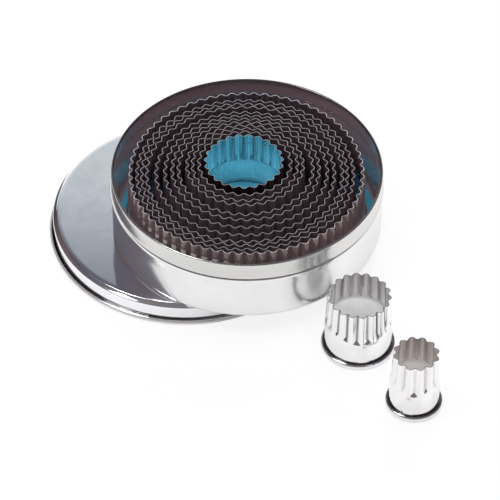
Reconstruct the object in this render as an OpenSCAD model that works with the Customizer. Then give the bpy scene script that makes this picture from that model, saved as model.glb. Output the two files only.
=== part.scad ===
/* [Cutters] */
// Height of every cutter, in mm
cutter_h = 31; // [27:1:36]
// Radius of the smallest cutter over its flutes, at the cutting edge
smallest_r = 10.2; // [9.8:0.2:14]
// Usual step in radius from one cutter to the next
step_r = 3.3; // [3.3:0.1:3.8]
// How much narrower the cutting edge is than the plain band, in radius
taper = 0.9; // [0.7:0.1:1.6]

/* [Flutes] */
// Depth of a flute from crest to trough
flute_depth = 1.5; // [0.8:0.1:1.5]
// Length of the fluted part, from the cutting edge down
flute_h = 17; // [13:1:19]
// Length over which the flutes fade into the plain band
fade_h = 2.6; // [1.5:0.1:4]

/* [Sheet] */
// Thickness of the tinplate
sheet_t = 0.3; // [0.2:0.05:0.35]
// Height of the rolled rim that each cutter stands on
rim_h = 2.9; // [2.4:0.1:3.2]
// Width of the rolled rim, across the roll
rim_w = 1.9; // [1.3:0.1:2]
// Width of the lap where the ends of a cutter's strip are joined
lap_w = 4; // [3:0.5:6]
// How far the pressed lap stands out of the band
lap_rise = 0.2; // [0.15:0.05:0.3]

/* [Tin and lid] */
// Room between the largest cutter's rim and the tin's wall
tin_room = 5.5; // [5:0.1:8]
// Room between the cutting edges and the tin's rim
head_room = 0.9; // [0.6:0.1:3]
// Height of the collar that the lid slips over
collar_h = 9; // [7:0.5:11]
// Radius of the bead that stops the lid, and of the tin's rolled rim
bead_r = 0.6; // [0.45:0.05:0.8]
// Radius of the tin's bottom corner
corner_r = 2; // [1.2:0.2:4]
// Height of the lid's raised panel above its shoulder
panel_rise = 1; // [0.6:0.1:1.6]
// Play between the lid's skirt and the collar
lid_play = 0.35; // [0.25:0.05:0.6]
// Radius of the curl at the lid's open edge
curl_r = 1.1; // [0.9:0.1:1.4]
// Thickness of the card disc on the tin's floor
liner_t = 0.6; // [0.4:0.1:1.2]

/* [Layout] */
// Distance from the lid's axis to the tin's axis
lid_offset = 28.5; // [20:0.5:34]
// Direction of the lid from the tin, in degrees from +X
lid_dir = 165; // [150:1:180]
// Direction of the larger loose cutter from the tin, in degrees from +X
second_dir = -54; // [-70:1:-45]
// Gap between the tin and the larger loose cutter
gap_to_tin = 5.4; // [4:0.2:20]
// Direction of the smaller loose cutter from the larger one, in degrees from +X
first_dir = -56; // [-70:1:-45]
// Gap between the two loose cutters
gap_between = 13; // [6:1:24]

/* [Hidden] */

// Number of flutes on each cutter, counted in the photograph, smallest first
FLUTES = [12, 18, 23, 25, 29, 32, 36, 40, 44, 48, 52, 56, 60, 64];
COUNT = len(FLUTES);
LOOSE = 2;
// How much each step in radius differs from the usual one, second cutter first
STEP_EXTRA = [0.7, 0.8, 0.2, -0.3, -0.8, 0.9, -0.5, 0.2, 0.3, 0.7, -1.1, -0.8, 0.3];
// How far each nested cutter lies from the tin's axis, third cutter first
NEST = [[-1.4, 6.1], [-1.0, 4.9], [-0.9, 4.1], [-0.9, 3.8], [-0.6, 1.8], [-0.6, 1.2],
        [-0.4, -0.1], [-0.8, -1.4], [-1.1, -1.7], [-1.1, -1.7], [-0.8, -1.8], [-0.2, -0.6]];
// Turn of each cutter about its own axis, which brings its lap where it lies in the photograph
TURN = [250, 275, 20, 75, 150, 310, 40, 118, 205, 330, 168, 62, 262, 300];

function name(k) = str("cutter_", k < 10 ? "0" : "", k);

// Radii of cutter k: crests at the cutting edge, plain band, outside of the rolled rim
function edge_r(k) = k == 1 ? smallest_r : edge_r(k - 1) + step_r + STEP_EXTRA[k - 2];
function band_r(k) = edge_r(k) + taper;
function rim_r(k) = band_r(k) - sheet_t + rim_w;

// Room above the tin's collar when the lid is on
COLLAR_CLEAR = 0.2;
// How far the lid's panel is smaller in radius than the tin
PANEL_IN = 1.4;
// Width and height of the steep step round the panel
STEP_W = 0.35;
STEP_H = 0.45;
// Tilt of the shoulder outside the step, and the radius of the bend between it and the skirt
SHOULDER_TILT = 28;
SHOULDER_R = 0.5;
// Plain wall between a cutter's rolled rim and the level where its lap starts
NECK = 0.4;

// Sizes that follow from the largest cutter
tin_r = rim_r(COUNT) + tin_room + sheet_t;
tin_h = sheet_t + liner_t + cutter_h + head_room;
liner_r = tin_r - sheet_t - corner_r;
skirt_r = tin_r + lid_play;
shoulder_z = collar_h + COLLAR_CLEAR;
lid_h = shoulder_z + panel_rise + sheet_t;
panel_r = tin_r - PANEL_IN;
lid_r = skirt_r + 2 * curl_r;
band_h = cutter_h - flute_h;
// Where the plain wall starts, above the rolled rim
wall_z = rim_h + NECK;
// How far crests sink into the band, and the scoops' cone into the creases
sink = 0.1;
// How far a solid that is cut away, or is cut off, runs past the face that is left
over = 1;

// Places on the table, measured from the tin's axis
lid_at = lid_offset * [cos(lid_dir), sin(lid_dir)];
second_at = (tin_r + bead_r + gap_to_tin + rim_r(2)) * [cos(second_dir), sin(second_dir)];
first_at = second_at + (rim_r(2) + gap_between + rim_r(1)) * [cos(first_dir), sin(first_dir)];

// The origin is under the middle of the whole group, on the table
low = [lid_at[0] - lid_r, first_at[1] - rim_r(1)];
high = [max(first_at[0] + rim_r(1), second_at[0] + rim_r(2), tin_r + bead_r), lid_at[1] + lid_r];
origin = (low + high) / 2;

// Points on each flute, and segments of every round shape
PER_FLUTE = 3;
ROUND = 120;
// Steps of the lower half of a rolled rim, an odd number
ROLL_STEPS = 9;
// Angles to which a cutter's roll and the tin's roll close, and half the sweep of the tin's bead
ROLL_CLOSE = 85;
TIN_ROLL_CLOSE = 230;
BEAD_HALF = 70;
// How far the middle of the bead's arc lies inside the tin's wall
BEAD_IN = 0.2;
TIN = "silver";
DARK_TIN = "darkgray";
CARD = "deepskyblue";

// Points of an arc of radius r about c, from angle a to angle b
function arc(c, r, a, b, steps) =
    [for (i = [0:steps]) let (t = a + (b - a) * i / steps) c + r * [cos(t), sin(t)]];

// Unit normal on the left of a path, at its point i
function left_normal(path, i) =
    let (a = path[max(i - 1, 0)], b = path[min(i + 1, len(path) - 1)], d = (b - a) / norm(b - a))
    [-d[1], d[0]];

// Outline of a sheet of thickness t that lies on the left of a path
function sheet(path, t) =
    concat(path, [for (i = [len(path) - 1:-1:0]) path[i] + t * left_normal(path, i)]);

// Path of a rim rolled outward from a wall whose inner face is at x: down, round, up and in again.
// The middle step of the lower arc is level and at height 0, so the rim stands on a flat ring.
function rolled_rim(x, r, rise) =
    let (z = r * cos(90 / ROLL_STEPS))
    concat(arc([x + r, z], r, 180, 360, ROLL_STEPS), arc([x + r, z + rise], r, 0, ROLL_CLOSE, 6));

module revolve(outline) {
    rotate_extrude($fn = ROUND) polygon(outline);
}

// Height of the wall's wave at u flutes along: broad round lobes that meet in narrow creases
function lobe(u) = abs(cos(180 * u));

// Points of one ring of the wave: f flutes, crests at radius r, at height z
function wave_ring(f, r, z) =
    [for (i = [0:PER_FLUTE * f - 1])
        let (u = (i + 0.5) / PER_FLUTE, a = 360 * u / f, rr = r - flute_depth * (1 - lobe(u)))
        [rr * cos(a), rr * sin(a), z]];

// Solid between two wave rings, with crests at radius low_r at height low_z and high_r at high_z
module wave_solid(f, low_r, low_z, high_r, high_z) {
    n = PER_FLUTE * f;
    sides = [for (i = [0:n - 1]) let (j = (i + 1) % n) each [[i, n + i, n + j], [i, n + j, j]]];
    polyhedron(
        concat(wave_ring(f, low_r, low_z), wave_ring(f, high_r, high_z)),
        concat([[for (i = [0:n - 1]) i], [for (i = [n - 1:-1:0]) n + i]], sides));
}

// Radius of the crests of cutter k at height z
function crest_r(k, z) = band_r(k) - sink - (taper - sink) / flute_h * (z - band_h);

// Everything inside one face of the fluted part of cutter k, the face being set in by some distance
module flutes(k, set_in, high_z) {
    wave_solid(FLUTES[k - 1], crest_r(k, band_h) - set_in, band_h, crest_r(k, high_z) - set_in, high_z);
}

// Everything inside one face of the plain band, and a cone over it that swallows the lobes:
// where the cone meets a crease it leaves a scoop
module drum(k, set_in, low_z) {
    r = band_r(k) - set_in;
    scoop_z = band_h + fade_h;
    scoop_r = crest_r(k, scoop_z) - set_in - flute_depth - sink;
    revolve([[0, low_z], [r, low_z], [r, band_h], [scoop_r, scoop_z], [0, scoop_z]]);
}

// Wall of cutter k from the top of its rolled rim to the cutting edge
module wall(k) {
    difference() {
        union() {
            flutes(k, 0, cutter_h + over);
            drum(k, 0, wall_z);
        }
        flutes(k, sheet_t, cutter_h + 2 * over);
        drum(k, sheet_t, wall_z - over);
        translate([0, 0, cutter_h]) cylinder(h = 2 * over, r = band_r(k), $fn = ROUND);
    }
}

// Rolled rim that the cutter stands on
module rim(k) {
    x = band_r(k) - sheet_t;
    revolve(sheet(concat([[x, wall_z]], rolled_rim(x, rim_w / 2, rim_h - rim_w)), sheet_t));
}

// Overlap of the strip's ends, on the outside of the band, sunk half a sheet into it
module lap(k) {
    span = lap_w / band_r(k) * 180 / PI;
    rotate([0, 0, -span / 2]) rotate_extrude(angle = span, $fn = ROUND)
        translate([band_r(k) - sheet_t / 2, wall_z + sheet_t])
        square([sheet_t / 2 + lap_rise, band_h - wall_z - 2 * sheet_t]);
}

module cutter(k) {
    color(k > LOOSE ? DARK_TIN : TIN) rotate([0, 0, TURN[k - 1]]) {
        wall(k);
        rim(k);
        lap(k);
    }
}

// Drawn tin: flat floor, rounded corner, bead under the collar, rim rolled inward
module tin() {
    bead_z = tin_h - collar_h - bead_r;
    rim_c = [tin_r - bead_r, tin_h - bead_r];
    path = concat(
        [[0, 0]],
        arc([tin_r - corner_r, corner_r], corner_r, -90, 0, 6),
        arc([tin_r - BEAD_IN, bead_z], bead_r + BEAD_IN, -BEAD_HALF, BEAD_HALF, 6),
        arc(rim_c, bead_r, 0, TIN_ROLL_CLOSE, 10));
    color(TIN) revolve(sheet(path, sheet_t));
}

// Pressed lid: raised panel, steep step, tilted shoulder over the tin's rim, skirt, outward curl
module lid() {
    under = lid_h - sheet_t;
    path = concat(
        [[0, under], [panel_r, under], [panel_r + STEP_W, under - STEP_H]],
        arc([skirt_r - SHOULDER_R, shoulder_z - SHOULDER_R], SHOULDER_R, 90 - SHOULDER_TILT, 0, 4),
        rolled_rim(skirt_r, curl_r, 0));
    color(TIN) revolve(sheet(path, sheet_t));
}

// Card disc on the tin's floor
module liner() {
    color(CARD) cylinder(h = liner_t, r = liner_r, $fn = ROUND);
}

// Puts a piece at a place on the plan, at height z
module place(xy, z) {
    translate([xy[0] - origin[0], xy[1] - origin[1], z]) children();
}

function cutter_at(k) = k == 1 ? first_at : k == 2 ? second_at : NEST[k - LOOSE - 1];
function cutter_z(k) = k > LOOSE ? lid_h + sheet_t + liner_t : 0;

place(lid_at, 0) lid();
place([0, 0], lid_h) tin();
place([0, 0], lid_h + sheet_t) liner();
for (k = [1:COUNT])
    place(cutter_at(k), cutter_z(k)) cutter(k);
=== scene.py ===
# %% [markdown]
# A boxed set of fluted pastry cutters: fourteen rings of tinplate strip that nest in a drawn tin,
# with the tin standing on its own lid and the two smallest rings set down beside it.
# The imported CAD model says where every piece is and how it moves. This script gives each piece a
# finer mesh of the same form and a tinplate or card finish, then sets a plain pale studio round it.

# %% Load the frame and keep its size
import math

import bpy
import numpy as np
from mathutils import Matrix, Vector


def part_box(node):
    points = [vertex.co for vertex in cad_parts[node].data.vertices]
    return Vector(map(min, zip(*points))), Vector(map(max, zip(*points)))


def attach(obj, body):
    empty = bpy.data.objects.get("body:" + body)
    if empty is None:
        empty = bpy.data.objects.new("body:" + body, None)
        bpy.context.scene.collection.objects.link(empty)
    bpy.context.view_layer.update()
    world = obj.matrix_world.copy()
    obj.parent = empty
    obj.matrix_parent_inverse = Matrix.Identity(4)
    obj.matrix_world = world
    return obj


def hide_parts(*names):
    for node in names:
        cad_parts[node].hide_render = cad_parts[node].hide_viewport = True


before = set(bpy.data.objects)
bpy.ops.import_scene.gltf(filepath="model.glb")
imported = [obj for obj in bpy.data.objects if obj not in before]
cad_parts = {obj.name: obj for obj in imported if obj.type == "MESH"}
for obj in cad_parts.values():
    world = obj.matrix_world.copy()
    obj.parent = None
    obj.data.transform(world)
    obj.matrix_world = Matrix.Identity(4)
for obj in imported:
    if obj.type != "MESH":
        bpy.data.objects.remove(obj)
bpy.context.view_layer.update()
MM = 0.001

# %% [markdown]
# Every piece of this set is round, so a piece is known by its axis, its outer radius and its two
# heights. They are read from the frame's own boxes, and nothing has to be fitted by hand.


# %% Read a round piece from the frame
class Round:
    """Axis, outer radius and heights of a round CAD node, in mm."""

    def __init__(self, node):
        low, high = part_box(node)
        self.node = node
        self.x = (low.x + high.x) / 2 / MM
        self.y = (low.y + high.y) / 2 / MM
        self.low = low.z / MM
        self.high = high.z / MM
        self.radius = min(high.x - low.x, high.y - low.y) / 2 / MM


tin = Round("tin")
lid = Round("lid")
liner = Round("liner")
print("tin radius %.2f, lid radius %.2f, liner radius %.2f mm"
      % (tin.radius, lid.radius, liner.radius))

# %% [markdown]
# Pressed and rolled tinplate is one sheet that follows a path: down a wall, round a roll, back up.
# Boxes with a bevel would lose that, so each section is drawn as a path with true arcs, and the
# sheet's second face is the same path moved along its normal by the sheet's thickness.


# %% Draw sheet-metal sections
SHEET = 0.3


def arc(centre, radius, start, end, steps):
    """Points of an arc, angles in degrees, as an array of (r, z)."""
    t = np.radians(np.linspace(start, end, steps + 1))
    return np.stack([centre[0] + radius * np.cos(t), centre[1] + radius * np.sin(t)], 1)


def other_face(path, thickness):
    """The path moved to its left by a thickness."""
    ahead = np.roll(path, -1, 0)
    behind = np.roll(path, 1, 0)
    ahead[-1], behind[0] = path[-1], path[0]
    along = ahead - behind
    along /= np.linalg.norm(along, axis=1)[:, None]
    return path + thickness * np.stack([-along[:, 1], along[:, 0]], 1)


def sheet(path, thickness):
    """Closed outline of a sheet that lies on the left of a path."""
    return np.concatenate([path, other_face(path, thickness)[::-1]])


print("an arc of 4 steps has", len(arc((0, 0), 1, 0, 90, 4)), "points")

# %% [markdown]
# A mesh made of rings is easy to check: ring after ring of the same number of points, joined by
# four-sided faces. Where an outline starts and ends on the axis, one point closes each end.
# The sign of the volume says whether the faces look outward.


# %% Join rings into a closed mesh
SHARP = math.radians(38)
ON_AXIS = 1e-9


def signed_volume(points, faces):
    """Volume inside a mesh of quads and triangles; negative if its faces look inward."""
    total = 0.0
    for size in (3, 4):
        rows = np.array([f for f in faces if len(f) == size])
        if not len(rows):
            continue
        for i in range(1, size - 1):
            a, b, c = points[rows[:, 0]], points[rows[:, i]], points[rows[:, i + 1]]
            total += np.einsum("ij,ij->i", a, np.cross(b, c)).sum() / 6
    return total


def point_values(mesh, name, values):
    """Keeps one number for each point under a name that a finish can read."""
    layer = mesh.attributes.new(name, "FLOAT", "POINT")
    layer.data.foreach_set("value", np.asarray(values, np.float32).ravel())


def ring_mesh(name, rings, poles=(), inner=None):
    """A mesh from rings of points in mm. Two poles close the stack, or else it closes by itself.
    inner has one number for each ring: 1 if the ring is on the piece's inner face, else 0."""
    stations, around = rings.shape[:2]
    i = np.arange(stations if not len(poles) else stations - 1)
    j = np.arange(around)
    a = (i[:, None] * around + j[None, :]).ravel()
    b = (i[:, None] * around + (j[None, :] + 1) % around).ravel()
    up = ((i + 1) % stations)[:, None] * around
    c = (up + (j[None, :] + 1) % around).ravel()
    d = (up + j[None, :]).ravel()
    faces = np.stack([a, b, c, d], 1).tolist()
    points = rings.reshape(-1, 3)
    inner = np.repeat(np.zeros(stations) if inner is None else inner, around)
    if len(poles):
        top = len(points)
        points = np.concatenate([points, np.array(poles, float)])
        inner = np.concatenate([inner, [inner[0], inner[-1]]])
        last = (stations - 1) * around
        faces += [[top, int((k + 1) % around), int(k)] for k in j]
        faces += [[top + 1, int(last + k), int(last + (k + 1) % around)] for k in j]
    if signed_volume(points, faces) < 0:
        faces = [f[::-1] for f in faces]
    mesh = bpy.data.meshes.new(name)
    mesh.from_pydata((points * MM).tolist(), [], faces)
    mesh.polygons.foreach_set("use_smooth", np.ones(len(faces), bool))
    mesh.set_sharp_from_angle(angle=SHARP)
    point_values(mesh, "inner", inner)
    mesh.update()
    return mesh


def add_piece(name, mesh, part, finish):
    """Sets a piece down on a round part's axis, with its finish, to stand for the part's node."""
    piece = bpy.data.objects.new(name, mesh)
    bpy.context.scene.collection.objects.link(piece)
    piece.location = (part.x * MM, part.y * MM, part.low * MM)
    mesh.materials.append(finish)
    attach(piece, part.node)
    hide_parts(part.node)
    print("%-16s %6d faces" % (name, len(mesh.polygons)))


def lathe(name, outline, steps, halves=(0, 0), dark=(0, 0)):
    """Turns a closed outline of (r, z) about the axis. An outline may start and end at r 0.
    halves says for each half of the outline whether it is the inner face. The outline's middle is
    the sheet's free edge, and dark says how many points before and after it lie in a groove."""
    outline = np.array(outline, float)
    half = len(outline) // 2
    inner = np.repeat(np.array(halves, float), half)
    groove = np.zeros(len(outline))
    groove[half - dark[0]:half + dark[1]] = 1
    on_axis = outline[:, 0] < ON_AXIS
    poles = [(0, 0, z) for z in outline[on_axis][:, 1]]
    outline, inner, groove = outline[~on_axis], inner[~on_axis], groove[~on_axis]
    t = np.radians(np.arange(steps) * 360 / steps)
    rings = np.stack([np.outer(outline[:, 0], np.cos(t)), np.outer(outline[:, 0], np.sin(t)),
                      np.repeat(outline[:, 1][:, None], steps, 1)], 2)
    mesh = ring_mesh(name, rings, poles, inner)
    point_values(mesh, "groove", np.append(np.repeat(groove, steps), np.zeros(len(poles))))
    return mesh


# %% [markdown]
# Finishes are node trees, and node trees are hard to read as code. A small class holds one socket,
# so that sums and products on it read as they would on paper and add their own Math nodes.


# %% Write shader maths as expressions
class Signal:
    """One socket of a node tree."""

    def __init__(self, tree, socket=None):
        self.tree = tree
        self.socket = socket

    def node(self, kind, settings=None, sockets=None, out=0):
        """Adds a node with its settings and its sockets' values or links. Gives one output."""
        made = self.tree.nodes.new(kind)
        for key, value in (settings or {}).items():
            if key == "stops":
                ramp = made.color_ramp.elements
                while len(ramp) < len(value):
                    ramp.new(0.5)
                for element, (place, colour) in zip(ramp, value):
                    element.position = place
                    element.color = (*colour, 1)
            else:
                setattr(made, key, value)
        for key, value in (sockets or {}).items():
            if isinstance(value, Signal):
                self.tree.links.new(value.socket, made.inputs[key])
            else:
                made.inputs[key].default_value = value
        return Signal(self.tree, made.outputs[out] if len(made.outputs) else None)

    def math(self, operation, a, b):
        return self.node("ShaderNodeMath", {"operation": operation}, {0: a, 1: b})

    def __add__(self, other):
        return self.math("ADD", self, other)

    def __sub__(self, other):
        return self.math("SUBTRACT", self, other)

    def __rsub__(self, other):
        return self.math("SUBTRACT", other, self)

    def __mul__(self, other):
        return self.math("MULTIPLY", self, other)

    def __truediv__(self, other):
        return self.math("DIVIDE", self, other)

    def __pow__(self, other):
        return self.math("POWER", self, other)

    __radd__ = __add__
    __rmul__ = __mul__

    def clamp(self):
        return self.node("ShaderNodeClamp", None, {0: self})

    def rise(self, low, high):
        """0 below low, 1 above high, smooth between them."""
        return self.node("ShaderNodeMapRange", {"interpolation_type": "SMOOTHSTEP"},
                         {"Value": self, "From Min": low, "From Max": high})


def new_finish(name):
    """An empty material and the start of its node tree."""
    made = bpy.data.materials.new(name)
    made.use_nodes = True
    made.node_tree.nodes.clear()
    return made, Signal(made.node_tree)


def opaque(colour):
    """Three numbers with full alpha. A signal stays as it is."""
    return colour if isinstance(colour, Signal) else (*colour, 1)


def mix_colour(mask, low, high):
    """The colour low where the mask is 0, and high where it is 1."""
    return mask.node("ShaderNodeMix", {"data_type": "RGBA"},
                     {0: mask, 6: opaque(low), 7: opaque(high)}, out=2)


def place_mm(start):
    """Where a point lies on its own piece, in mm: the vector and its three parts."""
    at = start.node("ShaderNodeTexCoord", out="Object")
    mm = start.node("ShaderNodeVectorMath", {"operation": "SCALE"}, {0: at, "Scale": 1 / MM})
    return mm, *(start.node("ShaderNodeSeparateXYZ", None, {0: mm}, out=k) for k in range(3))


def own_value(start, name):
    """The number that a mesh keeps for its points under a name."""
    return start.node("ShaderNodeAttribute", {"attribute_name": name}, out="Fac")


def vector(x, y, z):
    """Three signals or numbers as one vector; the first is a signal."""
    return x.node("ShaderNodeCombineXYZ", None, {0: x, 1: y, 2: z})


def noise(at, scale, detail=2.0, rough=0.5, warp=0.0):
    """Soft noise between 0 and 1 with a mean of about 0.5."""
    return at.node("ShaderNodeTexNoise", None, {"Vector": at, "Scale": scale, "Detail": detail,
                                                "Roughness": rough, "Distortion": warp})


def surface(start, colour, roughness, normal, metallic=1.0, **more):
    """Ends a material's tree with its one shader."""
    sockets = {"Base Color": colour, "Roughness": roughness, "Normal": normal, "Metallic": metallic}
    sockets.update({key.replace("_", " "): value for key, value in more.items()})
    shader = start.node("ShaderNodeBsdfPrincipled", None, sockets)
    start.node("ShaderNodeOutputMaterial", None, {"Surface": shader})


def bump(height, strength=1.0):
    """A normal from a height in mm."""
    return height.node("ShaderNodeBump", None,
                       {"Strength": strength, "Distance": MM, "Height": height})


print("shader helpers ready")

# %% [markdown]
# Tinplate is thin steel with a bright tin coat. On the real pieces it is never one tone: the coat
# has a faint cloudy bloom, drawing and rolling leave fine lines along the strip, and handling
# leaves short scuffs. The bloom goes into colour and roughness, the lines and scuffs into
# roughness and a very shallow bump, because a deep one would break up the mirror image. Painted
# shade is added to the colour: the groove beside a roll is painted dark, the tin's collar is
# painted greyer than its wall, and the inner face is painted darker than the outer one.

# %% Make tinplate
TONE_DEPTH = 0.3
DULL = (0.55, 0.55, 0.57)
# Colours of painted shade: dark for grooves and creases, grey for the tin's collar above COLLAR_Z.
RECESS_SHADE = (0.11, 0.09, 0.09)
COLLAR_SHADE = (0.67, 0.67, 0.65)
COLLAR_Z = 24.0
COLLAR_FADE = 0.6
INNER_POLISH = 0.5
SCATTER = 0.4
SCUFF_DEPTH = 0.0015
SCUFF_CUT = (0.68, 0.74)
BLOOM_CUT = (0.3, 0.75)
WEAR_CUT = (0.45, 0.8)
ROUND_SCALE = 4.0


def scuffs(mm, size):
    """Short hairline scratches in two directions: 1 on a scratch and 0 beside it."""
    x = mm.node("ShaderNodeMapping", None, {"Vector": mm, "Rotation": (0.3, 0.2, 0.7),
                                            "Scale": (0.25, 3.0, 0.25)})
    y = mm.node("ShaderNodeMapping", None, {"Vector": mm, "Rotation": (0.1, 0.5, -0.9),
                                            "Scale": (3.0, 0.2, 0.3)})
    lines = noise(x, size, 3, 0.6).math("MAXIMUM", noise(x, size, 3, 0.6), noise(y, size, 3, 0.6))
    return lines.rise(*SCUFF_CUT)


def round_lines(x, y, z):
    """Lines that run round the axis, as on a piece turned while it was pressed."""
    radius = (x * x + y * y) ** 0.5
    return vector(radius * ROUND_SCALE, z * ROUND_SCALE, (x + y) * 0.02)


def tinplate(name, outside, inside, roughness, line_depth, dents, dark):
    """Bright tinplate, duller inside, with fine lines and soft dents of the given depths in mm. Its
    colour holds painted shade: darker on the inner face, greyer on the tin's collar, and dark in
    the groove of its roll. dark says how dark that painted groove shade is."""
    made, start = new_finish(name)
    mm, x, y, z = place_mm(start)
    bloom = noise(mm, 0.06, 4, 0.6, 0.4)
    fine = noise(round_lines(x, y, z), 1.0, 3, 0.55)
    marks = scuffs(mm, 0.55)
    wear = noise(mm, 0.35, 5, 0.7).rise(*WEAR_CUT)
    tone = (bloom.rise(*BLOOM_CUT) * 0.55 + fine * 0.3 + wear * 0.25).clamp()
    inner = own_value(start, "inner")
    # Painted shade: above COLLAR_Z the collar is painted greyer than the wall.
    paint = mix_colour(z.rise(COLLAR_Z - COLLAR_FADE, COLLAR_Z), outside, COLLAR_SHADE)
    # Painted shade: the inner face gets the darker inside colour.
    paint = mix_colour(inner, paint, inside)
    paint = mix_colour(tone * TONE_DEPTH, paint, DULL)
    # Painted shade: the groove beside the roll is painted dark.
    paint = mix_colour(own_value(start, "groove") * dark, paint, RECESS_SHADE)
    rough = roughness * (1 - inner * INNER_POLISH)
    rough = rough + bloom * 0.04 + fine * 0.04 + marks * 0.08 + wear * 0.04
    height = fine * line_depth + noise(mm, 0.07, 1, 0.4) * dents - marks * SCUFF_DEPTH
    surface(start, paint, rough, bump(height), 1 - inner * SCATTER)
    return made


# The inside colours are painted shade, darker than the outside ones.
lid_tinplate = tinplate("lid_tinplate", outside=(0.94, 0.95, 0.96), inside=(0.80, 0.78, 0.78),
                        roughness=0.03, line_depth=0.0012, dents=0.012, dark=0.5)
tin_tinplate = tinplate("tin_tinplate", outside=(0.87, 0.87, 0.87), inside=(0.62, 0.47, 0.50),
                        roughness=0.15, line_depth=0.0015, dents=0.012, dark=0.8)
print("tinplate finishes:", lid_tinplate.name, tin_tinplate.name)

# %% [markdown]
# The cutters are the same tinplate, bent from a narrow strip, so their lines run up the wall. The
# mesh keeps how far along its strip each point lies, and the finish reads that number. The strip's
# ends lap over each other, and a spot weld holds them: a small dimple with a grey heat mark.
# Those that stay in the tin are rougher, and their brown colour is painted shade. A pure metal
# would look black between the close walls, so a part of their light is scattered as a paint would
# do it. Painted shade also darkens the creases and the groove above the roll, and on the loose
# cutters the inner face of the flutes. The outermost one's crests carry pale painted highlights
# near the cutting edge, with a row of white painted highlight spots below it at the front left.

# %% Make the cutters' tinplate
WELD = (2.8, 13.6)
WELD_R = 0.9
WELD_FADE = (WELD_R * 0.3, WELD_R * 1.4)
WELD_GREY = (0.33, 0.31, 0.31)
WELD_SHARE = 0.5
WELD_DEPTH = 0.07
LINE_DEPTH = 0.003
BAND_H = 14.0
BAND_FADE = (BAND_H - 1, BAND_H + 2)
TOP_EDGE = 31.0
CUT_FADE = (TOP_EDGE - 0.06, TOP_EDGE - 0.01)
CUT_EDGE = (0.50, 0.51, 0.52)
CUT_SHARE = 0.85
# Colours of the outermost cutter's painted highlights: pale on its crests, white in its spots.
CREST_HIGHLIGHT = (0.80, 0.70, 0.67)
HIGHLIGHT_H = 6.5
SPOT_HIGHLIGHT = (1, 1, 1)
SPOT_X = -27
SPOT_Z = 25.0
SPOT_HALF_H = 1.5
SPOT_HALF_W = 0.5
SPOT_ENDS = (-25, -15)
FRONT = (0, 5)


def weld_mark(along, z):
    """1 in the middle of the spot weld, falling to 0 outside it."""
    away = ((along - WELD[0]) ** 2 + (z - WELD[1]) ** 2) ** 0.5
    return 1 - away.rise(*WELD_FADE)


def cutter_finish(name, outside, inside, band, shade, crease_shade, metallic, roughness, highlight_share=0.0):
    """Strip tinplate. It has one colour outside, others inside its flutes and inside its band, one
    where it is worn, and a share of painted shade in its creases outside and inside. The last
    argument says from 0 to 1 how strong its painted highlights are, pale on its crests and white in
    a row of spots."""
    made, start = new_finish(name)
    mm, x, y, z = place_mm(start)
    along = own_value(start, "along")
    inner = own_value(start, "inner")
    crease = own_value(start, "crease")
    fine = noise(vector(along * 1.6, z * 0.07, 0.0), 1.0, 4, 0.6)
    bloom = noise(mm, 0.12, 4, 0.6, 0.3)
    marks = scuffs(mm, 0.6)
    weld = weld_mark(along, z)
    paint = mix_colour(z.rise(*BAND_FADE), band, inside)
    paint = mix_colour(inner, outside, paint)
    tone = (bloom.rise(*BLOOM_CUT) * 0.4 + fine.rise(0.4, 0.75) * 0.35).clamp()
    paint = mix_colour(tone, paint, shade)
    paint = mix_colour(weld * WELD_SHARE, paint, WELD_GREY)
    patchy = noise(vector(along * 0.4, z * 0.02, 3.0), 1.0, 2, 0.5).rise(0.3, 0.62)
    # Painted shade: the creases are painted dark, outside and inside by the two shares, and the
    # groove above the roll too, all in patches.
    shade_mask = crease.rise(0.6, 1.0) * (crease_shade[0] + inner * (crease_shade[1] - crease_shade[0]))
    shade_mask = shade_mask * (0.35 + patchy * 0.65) + own_value(start, "groove") * (0.1 + patchy * 0.35)
    paint = mix_colour(shade_mask.clamp(), paint, RECESS_SHADE)
    paint = mix_colour(z.rise(*CUT_FADE) * CUT_SHARE, paint, CUT_EDGE)
    # Painted highlights: the crests near the cutting edge are painted pale, and a row of spots at
    # the front left white; both are non-metal so that they stay bright.
    rub_and_highlight = (1 - crease - (TOP_EDGE - z) / HIGHLIGHT_H).rise(0.2, 0.6)
    rub_and_highlight = rub_and_highlight * (1 - inner) * (0.3 + patchy * 0.7) * highlight_share
    spot_highlight = 1 - (((z - SPOT_Z) / SPOT_HALF_H) ** 2 + (crease / SPOT_HALF_W) ** 2).rise(0.5, 1.2)
    spot_highlight = spot_highlight * (1 - inner) * highlight_share
    spot_highlight = spot_highlight * (x - SPOT_X).rise(*SPOT_ENDS) * (SPOT_X - x).rise(*SPOT_ENDS)
    rub_and_highlight = rub_and_highlight.math("MAXIMUM", rub_and_highlight, spot_highlight * (0 - y).rise(*FRONT))
    paint = mix_colour(rub_and_highlight, paint, mix_colour(spot_highlight, CREST_HIGHLIGHT, SPOT_HIGHLIGHT))
    rough = roughness + fine * 0.1 + bloom * 0.05 + marks * 0.1 + weld * 0.12
    height = fine * LINE_DEPTH - marks * SCUFF_DEPTH - weld * WELD_DEPTH
    surface(start, paint, rough, bump(height), metallic * (1 - rub_and_highlight))
    return made


# The browns and pinkish browns here are painted shade: the cutters that stay in the tin are the
# same tinplate as the loose ones, painted darker where they sit in shadow. The innermost one keeps
# pale tinplate inside.
SHADE_BROWN = (0.52, 0.39, 0.44)
PALE = (0.95, 0.96, 0.96)
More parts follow.
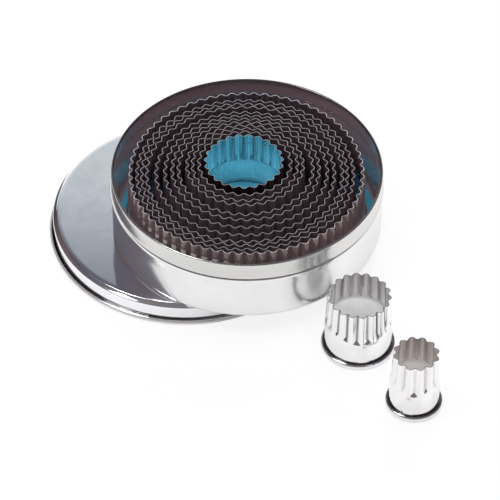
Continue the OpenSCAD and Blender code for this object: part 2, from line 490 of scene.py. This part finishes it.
# The inside colours of the two loose cutters are painted shade, darker than their outside.
large_strip = cutter_finish(
    "large_strip", outside=(0.89, 0.895, 0.90), inside=(0.58, 0.55, 0.56),
    band=(0.93, 0.95, 0.96), shade=(0.78, 0.77, 0.77), crease_shade=(0.85, 0.8),
    metallic=1.0, roughness=0.07)
small_strip = cutter_finish(
    "small_strip", outside=(0.88, 0.885, 0.88), inside=(0.66, 0.59, 0.57),
    band=(0.84, 0.80, 0.78), shade=(0.78, 0.75, 0.74), crease_shade=(0.3, 0.5),
    metallic=1.0, roughness=0.08)
inner_strip = cutter_finish(
    "inner_strip", outside=(0.55, 0.44, 0.48), inside=PALE, band=PALE,
    shade=(0.52, 0.48, 0.49), crease_shade=(0.6, 0.55), metallic=1.0, roughness=0.07)
shade_brown_strip = cutter_finish(
    "shade_brown_strip", outside=SHADE_BROWN, inside=SHADE_BROWN, band=SHADE_BROWN,
    shade=(0.30, 0.21, 0.25), crease_shade=(0.6, 0.6), metallic=0.78, roughness=0.2)
outer_strip = cutter_finish(
    "outer_strip", outside=(0.76, 0.66, 0.65), inside=SHADE_BROWN, band=SHADE_BROWN,
    shade=(0.40, 0.31, 0.32), crease_shade=(0.3, 0.6), metallic=0.75, roughness=0.06, highlight_share=1.0)
strips = (large_strip, small_strip, inner_strip, shade_brown_strip, outer_strip)
print("cutter finishes:", *(strip.name for strip in strips))

# %% [markdown]
# The disc on the tin's floor is blue coated card. Card has a fibre grain and a soft, almost matt
# coat, and where cutters have been set down on it there are faint paler rub marks.

# %% Make the blue card
BLUE_DARK = (0.065, 0.40, 0.60)
BLUE_LIGHT = (0.095, 0.49, 0.70)
BLUE_RUBBED = (0.30, 0.60, 0.72)


def card_finish():
    """Blue coated card with a fibre grain and pale rub marks."""
    made, start = new_finish("blue_card")
    mm, x, y, z = place_mm(start)
    fibre = noise(mm, 1.6, 4, 0.7)
    cloud = noise(mm, 0.08, 3, 0.6)
    rub_and_highlight = noise(vector(x * 0.9, y * 0.9, z), 0.5, 5, 0.75).rise(0.6, 0.8)
    paint = mix_colour((fibre * 0.5 + cloud * 0.5).rise(0.3, 0.7), BLUE_DARK, BLUE_LIGHT)
    paint = mix_colour(rub_and_highlight * 0.2, paint, BLUE_RUBBED)
    surface(start, paint, 0.45 + fibre * 0.2, bump(fibre * 0.03, strength=0.6), metallic=0.0)
    return made


blue_card = card_finish()
print("card finish:", blue_card.name)

# %% [markdown]
# A cutter starts as a flat strip. One edge is rolled over to make a safe rim for the hand, the
# upper part is crimped into lobes, and the flutes die out in small scoops above a plain band.
# A plain wave with a straight cut-off would miss the scoops. So the wall is the larger of two
# radii at every point, the wave and a scoop that curves in from the band, with a soft join. The
# loose cutters' scoops are long, except beside the lap, where they were pressed harder.

# %% Shape a fluted wall
RIM_H = 2.9
RIM_W = 1.9
FLUTE_DEPTH = 1.5
FLUTE_H = 17.0
FADE_H = 2.6
TAPER = 0.9
SINK = 0.1
SCOOP_DEPTH = FLUTE_DEPTH + 3 * SINK
SCOOP_CURVE = 1.8
SCOOP_REACH = 1.5
LAP_W = 4.0
LAP_RISE = 0.2
LAP_STEP = 0.25
LAP_SUNK = 0.6
CREASE_BEAT = (2.4, 1.3)
DEPTH_SPREAD = 0.25


class Crimp:
    """How a strip was crimped: the wave's power, how soft its creases and scoops are, how much the
    creases differ, and the scoops' length as a share of FADE_H. pressed gives some creases, by
    their number, a share of their own."""

    def __init__(self, power, crease, join, spread, length=1.0, pressed=None):
        self.power = power
        self.crease = crease
        self.join = join
        self.spread = spread
        self.length = length
        self.pressed = pressed or {}


def lobe(u, crimp):
    """Height of the wave at u flutes along: 1 on a lobe's crest and 0 in a crease."""
    soft = np.sqrt(np.cos(np.pi * u) ** 2 + crimp.crease ** 2)
    full = math.sqrt(1 + crimp.crease ** 2)
    return ((soft - crimp.crease) / (full - crimp.crease)) ** crimp.power


def uneven(u, flutes, spread):
    """A factor of about 1 that differs from crease to crease: no two are pressed quite alike."""
    crease = np.arange(flutes + 2) - 1
    number = crease % flutes
    first, second = CREASE_BEAT
    factor = 1 + spread * np.sin(first * number + flutes) * np.cos(second * number * number)
    return np.interp(u, crease + 0.5, factor)


def scoop_length(u, flutes, crimp):
    """Length of the scoops in mm. One that was pressed hard is short and steep."""
    crease = np.arange(flutes + 2) - 1
    share = [crimp.pressed.get(int(number % flutes), crimp.length) for number in crease]
    return FADE_H * np.interp(u, crease + 0.5, share)


def smooth_max(a, b, join):
    """The larger of two numbers, with a soft join where they cross."""
    return (a + b + np.sqrt((a - b) ** 2 + join ** 2)) / 2


def lap_rise(angle, band_r):
    """How far the strip's outer end stands off: a step on one side, a long ease on the other."""
    along = ((angle + np.pi) % (2 * np.pi) - np.pi) * band_r
    step = np.clip((along + LAP_W / 2) / LAP_STEP, 0, 1)
    ease = np.clip((LAP_W - along) / (LAP_W / 2), 0, 1)
    return LAP_RISE * step * ease


def outer_radius(rise, band_r, angle, flutes, crimp):
    """Outer radius of the wall at a height over the band's top edge, at every angle."""
    lap = lap_rise(angle, band_r)
    if rise <= 0:
        return band_r + lap
    u = flutes * angle / (2 * np.pi)
    crest = band_r - SINK - (TAPER - SINK) / FLUTE_H * rise
    depth = FLUTE_DEPTH * uneven(u, flutes, crimp.spread * DEPTH_SPREAD)
    wave = crest - depth * (1 - lobe(u, crimp))
    share = rise / (scoop_length(u, flutes, crimp) * uneven(u, flutes, crimp.spread))
    scoop = band_r - SCOOP_DEPTH * share ** SCOOP_CURVE
    near = np.clip(share, 0, 1)
    return smooth_max(wave, scoop, crimp.join * near) + lap * (1 - LAP_SUNK * near)


def on_plan(radius, angle):
    """Plan points of a ring of radii."""
    return np.stack([radius * np.cos(angle), radius * np.sin(angle)], 1)


def set_in(plan, distance):
    """A closed plan curve moved inward along its own normal."""
    along = np.roll(plan, -1, 0) - np.roll(plan, 1, 0)
    along /= np.linalg.norm(along, axis=1)[:, None]
    return plan - distance * np.stack([along[:, 1], -along[:, 0]], 1)


def at_height(plan, z):
    """A plan curve as a ring of points at one height."""
    return np.concatenate([plan, np.full((len(plan), 1), z)], 1)


small_crimp = Crimp(power=1.15, crease=0.07, join=0.35, spread=0.1, length=2.0,
                    pressed={0: 1.0, 1: 1.6})
large_crimp = Crimp(power=1.15, crease=0.07, join=0.35, spread=0.1, length=2.0,
                    pressed={15: 1.5, 16: 1.4, 17: 0.9, 0: 1.2, 1: 1.4})
nested_crimp = Crimp(power=1.35, crease=0.10, join=0.2, spread=0.1)
print("a lobe's height over half a flute:",
      [round(float(lobe(u, small_crimp)), 2) for u in (0, 0.2, 0.4, 0.5)])

# %% [markdown]
# The rolled rim is the same strip carried on: down past the band, round the bottom, up the
# outside and over the top. It stops short of the wall, which leaves a groove above the roll; the
# finish paints that groove dark as painted shade.

# %% Build one cutter
NECK = 0.4
ROLL_CLOSE = 85
ROLL_STEPS = (14, 9)
GROOVE_STEPS = 4


def cutter_mesh(name, part, flutes, turn, crimp, fineness, steps):
    """The strip as one closed sheet. fineness is the number of points round each flute, and steps
    are the rings over the flutes, the scoops and the band."""
    top = part.high - part.low
    band_h = top - FLUTE_H
    band_r = part.radius + SHEET - RIM_W
    roll = RIM_W / 2
    angle = np.arange(flutes * fineness) / (flutes * fineness) * 2 * np.pi
    turned = angle + math.radians(turn)
    reach = band_h + SCOOP_REACH * FADE_H * crimp.length
    heights = np.concatenate([
        np.linspace(top, reach, steps[0]), np.linspace(reach, band_h, steps[1] + 1)[1:],
        np.linspace(band_h, RIM_H + NECK, steps[2] + 1)[1:]])
    outside = [on_plan(outer_radius(h - band_h, band_r, angle, flutes, crimp), turned)
               for h in heights]
    inside = [set_in(plan, SHEET) for plan in outside]
    x = band_r - SHEET + roll
    path = np.concatenate([arc((x, roll), roll, 180, 360, ROLL_STEPS[0]),
                           arc((x, RIM_H - roll), roll, 0, ROLL_CLOSE, ROLL_STEPS[1])])
    back = other_face(path, SHEET)
    rings = [at_height(plan, h) for plan, h in zip(inside, heights)]
    rings += [at_height(on_plan(r, turned), z) for r, z in path]
    rings += [at_height(on_plan(r, turned), z) for r, z in back[::-1]]
    rings += [at_height(plan, h) for plan, h in zip(outside[::-1], heights[::-1])]
    inner = np.zeros(len(rings))
    inner[:len(heights)] = 1
    mesh = ring_mesh(name, np.array(rings), (), inner)
    start = LAP_W / 2 / band_r
    point_values(mesh, "along", np.tile((angle + start) % (2 * np.pi) * band_r, len(rings)))
    crease = 1 - lobe(flutes * angle / (2 * np.pi), crimp)
    over_band = np.clip((np.array([ring[0, 2] for ring in rings]) - band_h) / FADE_H, 0, 1)
    point_values(mesh, "crease", np.outer(over_band, crease))
    groove = np.concatenate([np.zeros(len(heights) + len(path) - GROOVE_STEPS),
                             np.linspace(0, 1, GROOVE_STEPS), np.ones(len(path)),
                             np.zeros(len(heights))])
    point_values(mesh, "groove", np.repeat(groove, len(angle)))
    return mesh


groove_w = (RIM_W / 2 - SHEET) * (1 + math.cos(math.radians(ROLL_CLOSE)))
print("the roll stops %.2f mm short of the wall" % groove_w)

# %% [markdown]
# The flutes were counted in the photograph. Each ring is turned so that its lap lies where it
# does there, and the two loose rings, which the camera sees from close by, get a finer mesh.

# %% Make all fourteen cutters
FLUTES = (12, 18, 23, 25, 29, 32, 36, 40, 44, 48, 52, 56, 60, 64)
TURN = (250, 275, 20, 75, 150, 310, 40, 118, 205, 330, 168, 62, 262, 300)
LOOSE = 2
LOOSE_MESH = {"fineness": 24, "steps": (4, 26, 14)}
NESTED_MESH = {"fineness": 12, "steps": (4, 8, 3)}
for number, (flutes, turn) in enumerate(zip(FLUTES, TURN), 1):
    part = Round("cutter_%02d" % number)
    if number <= LOOSE:
        crimp, finish = ((small_crimp, small_strip), (large_crimp, large_strip))[number - 1]
        detail = LOOSE_MESH
    else:
        crimp, detail = nested_crimp, NESTED_MESH
        finish = {LOOSE + 1: inner_strip, len(FLUTES): outer_strip}.get(number, shade_brown_strip)
    mesh = cutter_mesh("strip_%02d" % number, part, flutes, turn, crimp, **detail)
    add_piece("fluted_strip_%02d" % number, mesh, part, finish)

# %% [markdown]
# The tin is drawn from one disc: a flat floor, a rounded corner, a straight wall, and below the
# collar a bead that stops the lid. The bead swells slowly out of the wall and turns in sharply at
# its top. The tin's rim is rolled inward, so no raw edge is left.

# %% Make the tin
ROUND_STEPS = 384
NEAR_AXIS = 6
COLLAR_H = 9.0
BEAD_R = 0.6
# How far out, as a share of BEAD_R, and how far above the bead's middle, in mm
BEAD_FORM = ((0.15, -4.5), (0.6, -2.5), (0.92, -1.1), (1.0, -0.2), (0.93, 0.3), (0.75, 0.52),
             (0.5, 0.78), (0.25, 1.04), (0.07, 1.26), (0.0, 1.7))
CORNER_R = 2.0
TIN_ROLL_CLOSE = 230
# Points on the end of the roll that lie in its groove
TIN_GROOVE = 10


def tin_outline(part):
    """Outline of the tin's sheet, from the middle of the floor to the end of the rolled rim."""
    top = part.high - part.low
    wall = part.radius - BEAD_R
    bead_z = top - COLLAR_H - BEAD_R
    path = np.concatenate([
        [[0, 0]], np.linspace([NEAR_AXIS, 0], [wall - CORNER_R - 2, 0], 9),
        arc((wall - CORNER_R, CORNER_R), CORNER_R, -90, 0, 8),
        [[wall, z] for z in np.linspace(CORNER_R + 3, bead_z - 7, 4)],
        [[wall + out * BEAD_R, bead_z + up] for out, up in BEAD_FORM],
        [[wall, bead_z + 3], [wall, top - 3]],
        arc((wall - BEAD_R, top - BEAD_R), BEAD_R, 0, TIN_ROLL_CLOSE, 14)])
    return sheet(path, SHEET)


tin_mesh = lathe("tin_wall", tin_outline(tin), ROUND_STEPS, halves=(0, 1), dark=(TIN_GROOVE, 0))
add_piece("drawn_tin", tin_mesh, tin, tin_tinplate)

# %% [markdown]
# The lid is pressed: a flat raised panel, a steep step down to a tilted shoulder, a skirt that
# slips over the tin's collar, and an outward curl at the open edge.

# %% Make the lid
PANEL_RISE = 1.0
CURL_R = 1.1
PANEL_IN = 1.75
STEP_W = 0.35
STEP_H = 0.45
STEP_FOOT = ((-0.08, 0.1), (0.08, -0.04))
PANEL_R = 0.2
SHOULDER_TILT = 28
SHOULDER_R = 0.5
SKIRT_FOOT = (0.35, 0.7)
# Points on the curl and the foot of the skirt that lie in the curl's groove
LID_GROOVE = 27


def lid_outline(part):
    """Outline of the lid's sheet, from the middle of the panel to the end of the curl."""
    top = part.high - part.low
    skirt = part.radius - 2 * CURL_R
    panel = skirt - PANEL_IN
    under = top - SHEET
    bend = under - PANEL_RISE - SHOULDER_R
    path = np.concatenate([
        [[0, under]], np.linspace([NEAR_AXIS, under], [panel - 2, under], 10),
        arc((panel - PANEL_R, under - PANEL_R), PANEL_R, 90, 38, 4),
        [[panel + STEP_W + out, under - STEP_H + up] for out, up in STEP_FOOT],
        arc((skirt - SHOULDER_R, bend), SHOULDER_R, 90 - SHOULDER_TILT, 0, 6),
        [[skirt, bend - 2.5], *([skirt, 2 * CURL_R - down] for down in SKIRT_FOOT)],
        arc((skirt + CURL_R, CURL_R), CURL_R, 180, 360, 16),
        arc((skirt + CURL_R, CURL_R), CURL_R, 10, ROLL_CLOSE, 8)])
    return sheet(path, SHEET)


lid_mesh = lathe("lid_press", lid_outline(lid), ROUND_STEPS, halves=(1, 0), dark=(0, LID_GROOVE))
add_piece("pressed_lid", lid_mesh, lid, lid_tinplate)

# %% [markdown]
# Card is cut with a blade, so its edge is square with a hair of rounding where the fibres give.

# %% Make the liner
EDGE = 0.12
HUB = 5


def liner_outline(part):
    """Outline of the disc, with a small bevel at both edges."""
    top = part.high - part.low
    r = part.radius
    return [[0, 0], [HUB, 0], [r / 2, 0], [r - EDGE, 0], [r, EDGE], [r, top - EDGE],
            [r - EDGE, top], [r / 2, top], [HUB, top], [0, top]]


liner_mesh = lathe("card_disc", liner_outline(liner), ROUND_STEPS)
add_piece("card_liner", liner_mesh, liner, blue_card)

# %% [markdown]
# Bright metal shows its surroundings more than itself. The set stands on a white floor that
# upright walls mirror. Where the camera sees the floor straight it is shown mostly white, so that
# only a pale shadow stays. A mirror sees more of the real shading.

# %% Lay the floor
FLOOR_R = 12.0
FLOOR_STEPS = 96
FLOOR_DROP = 0.0001
SHOWN_STRAIGHT = 0.85
SHOWN_MIRRORED = 0.25


def floor_finish():
    """White, mixed with a plain glow: much of it for the camera, and less for a mirror."""
    made, start = new_finish("floor_white")
    seen = start.node("ShaderNodeLightPath", out="Is Camera Ray")
    mirrored = start.node("ShaderNodeLightPath", out="Is Glossy Ray")
    through = start.node("ShaderNodeLightPath", out="Is Transmission Ray")
    share = seen * SHOWN_STRAIGHT + (mirrored + through).clamp() * SHOWN_MIRRORED
    plain = start.node("ShaderNodeBsdfDiffuse", None, {"Color": (0.9, 0.9, 0.9, 1)})
    shown = start.node("ShaderNodeEmission", None, {"Color": (1, 1, 1, 1), "Strength": 1.0})
    both = start.node("ShaderNodeMixShader", None, {0: share, 1: plain, 2: shown})
    start.node("ShaderNodeOutputMaterial", None, {"Surface": both})
    return made


t = np.arange(FLOOR_STEPS) / FLOOR_STEPS * 2 * np.pi
edge = np.stack([np.cos(t), np.sin(t), t * 0], 1) * FLOOR_R
floor_mesh = bpy.data.meshes.new("floor")
floor_mesh.from_pydata(edge.tolist(), [], [list(range(FLOOR_STEPS))])
floor_mesh.materials.append(floor_finish())
floor = bpy.data.objects.new("floor", floor_mesh)
floor.location.z = -FLOOR_DROP
bpy.context.scene.collection.objects.link(floor)
print("floor radius", FLOOR_R, "m")

# %% [markdown]
# Behind the set a white sweep rises and loses light quickly at half height, and the rest of the
# room is dim, with a faint warm glow beside the sweep. The lid's flat panel mirrors the place
# where the sweep fades, the rolls mirror the dim room. The world is that room: one ramp over the
# angle between a direction and the middle of the sweep, and another over height. The camera itself
# sees plain white wherever there is no floor. Of the three lamps only the left one is mirrored, as
# a highlight on the lid's shoulder; the other two light the set without showing in it.

# %% Light the room
SWEEP = Vector((0.0, 0.97, 0.25)).normalized()
# Place on the ramp, from 0 at right angles to the sweep to 1 at its middle, and the light there
SWEEP_LIGHT = (
    (0.0, (0.20, 0.18, 0.19)), (0.2, (0.04, 0.03, 0.035)), (0.40, (0.16, 0.10, 0.08)),
    (0.62, (0.13, 0.09, 0.08)), (0.74, (0.06, 0.055, 0.065)), (0.84, (0.13, 0.13, 0.16)),
    (0.858, (0.25, 0.27, 0.31)), (0.863, (0.36, 0.395, 0.44)), (0.868, (0.57, 0.61, 0.65)),
    (0.886, (0.63, 0.68, 0.71)), (0.92, (1.0, 1.0, 1.0)))
DIM_HEIGHTS = (0.25, 0.7)
DIM = (0.13, 0.12, 0.15)
world = bpy.data.worlds.new("room")
world.use_nodes = True
world.node_tree.nodes.clear()
start = Signal(world.node_tree)
direction = start.node("ShaderNodeTexCoord", out="Generated")
near = start.node("ShaderNodeVectorMath", {"operation": "DOT_PRODUCT"}, {0: direction, 1: SWEEP},
                  out="Value")
high = start.node("ShaderNodeSeparateXYZ", None, {0: direction}, out=2)
high = high.rise(*DIM_HEIGHTS)
sweep = start.node("ShaderNodeValToRGB", {"stops": SWEEP_LIGHT}, {0: near})
room = start.node("ShaderNodeMix", {"data_type": "RGBA", "blend_type": "LIGHTEN"},
                  {0: high, 6: sweep, 7: opaque(DIM)}, out=2)
dim = start.node("ShaderNodeBackground", None, {"Color": room, "Strength": 1.0})
white = start.node("ShaderNodeBackground", None, {"Color": (1, 1, 1, 1), "Strength": 1.0})
straight = start.node("ShaderNodeLightPath", out="Is Camera Ray")
light = start.node("ShaderNodeMixShader", None, {0: straight, 1: dim, 2: white})
start.node("ShaderNodeOutputWorld", None, {"Surface": light})
bpy.context.scene.world = world


def softbox(name, where, width, power, mirrored):
    """A square lamp that faces the middle of the set. One that isn't mirrored only lights."""
    data = bpy.data.lights.new(name, "AREA")
    data.shape = "RECTANGLE"
    data.size = data.size_y = width
    data.energy = power
    lamp = bpy.data.objects.new(name, data)
    lamp.location = where
    aim = Vector(AIM) - Vector(where)
    lamp.rotation_euler = aim.to_track_quat("-Z", "Y").to_euler()
    lamp.visible_glossy = mirrored
    bpy.context.scene.collection.objects.link(lamp)


AIM = (0, 0, 0.02)
softbox("top_box", (0.15, 0.0, 1.5), width=1.2, power=19, mirrored=False)
softbox("left_box", (-0.74, -0.13, 1.45), width=0.5, power=7, mirrored=True)
softbox("back_box", (0.38, 1.17, 1.03), width=0.35, power=6, mirrored=False)

# %% [markdown]
# The photograph was taken from 45 degrees above with a long lens. The camera's place comes from
# the ellipses of the tin's rim, the lid and the loose cutters' rims.

# %% Set the camera
TILT = math.radians(44.88)
AWAY = 1.3893
LOOK = (0.00432, 0.0134)
LENS_PX = 3000
FRAME_PX = 500
SENSOR = 36.0
FAR = 100
view = bpy.data.cameras.new("view")
view.sensor_width = SENSOR
view.lens = SENSOR * LENS_PX / FRAME_PX
view.clip_end = FAR
camera = bpy.data.objects.new("camera", view)
camera.location = (LOOK[0], LOOK[1] - AWAY * math.cos(TILT), AWAY * math.sin(TILT))
camera.rotation_euler = (math.pi / 2 - TILT, 0, 0)
bpy.context.scene.collection.objects.link(camera)
bpy.context.scene.camera = camera
bpy.context.scene.view_settings.view_transform = "Standard"
print("lens %.0f mm" % view.lens)
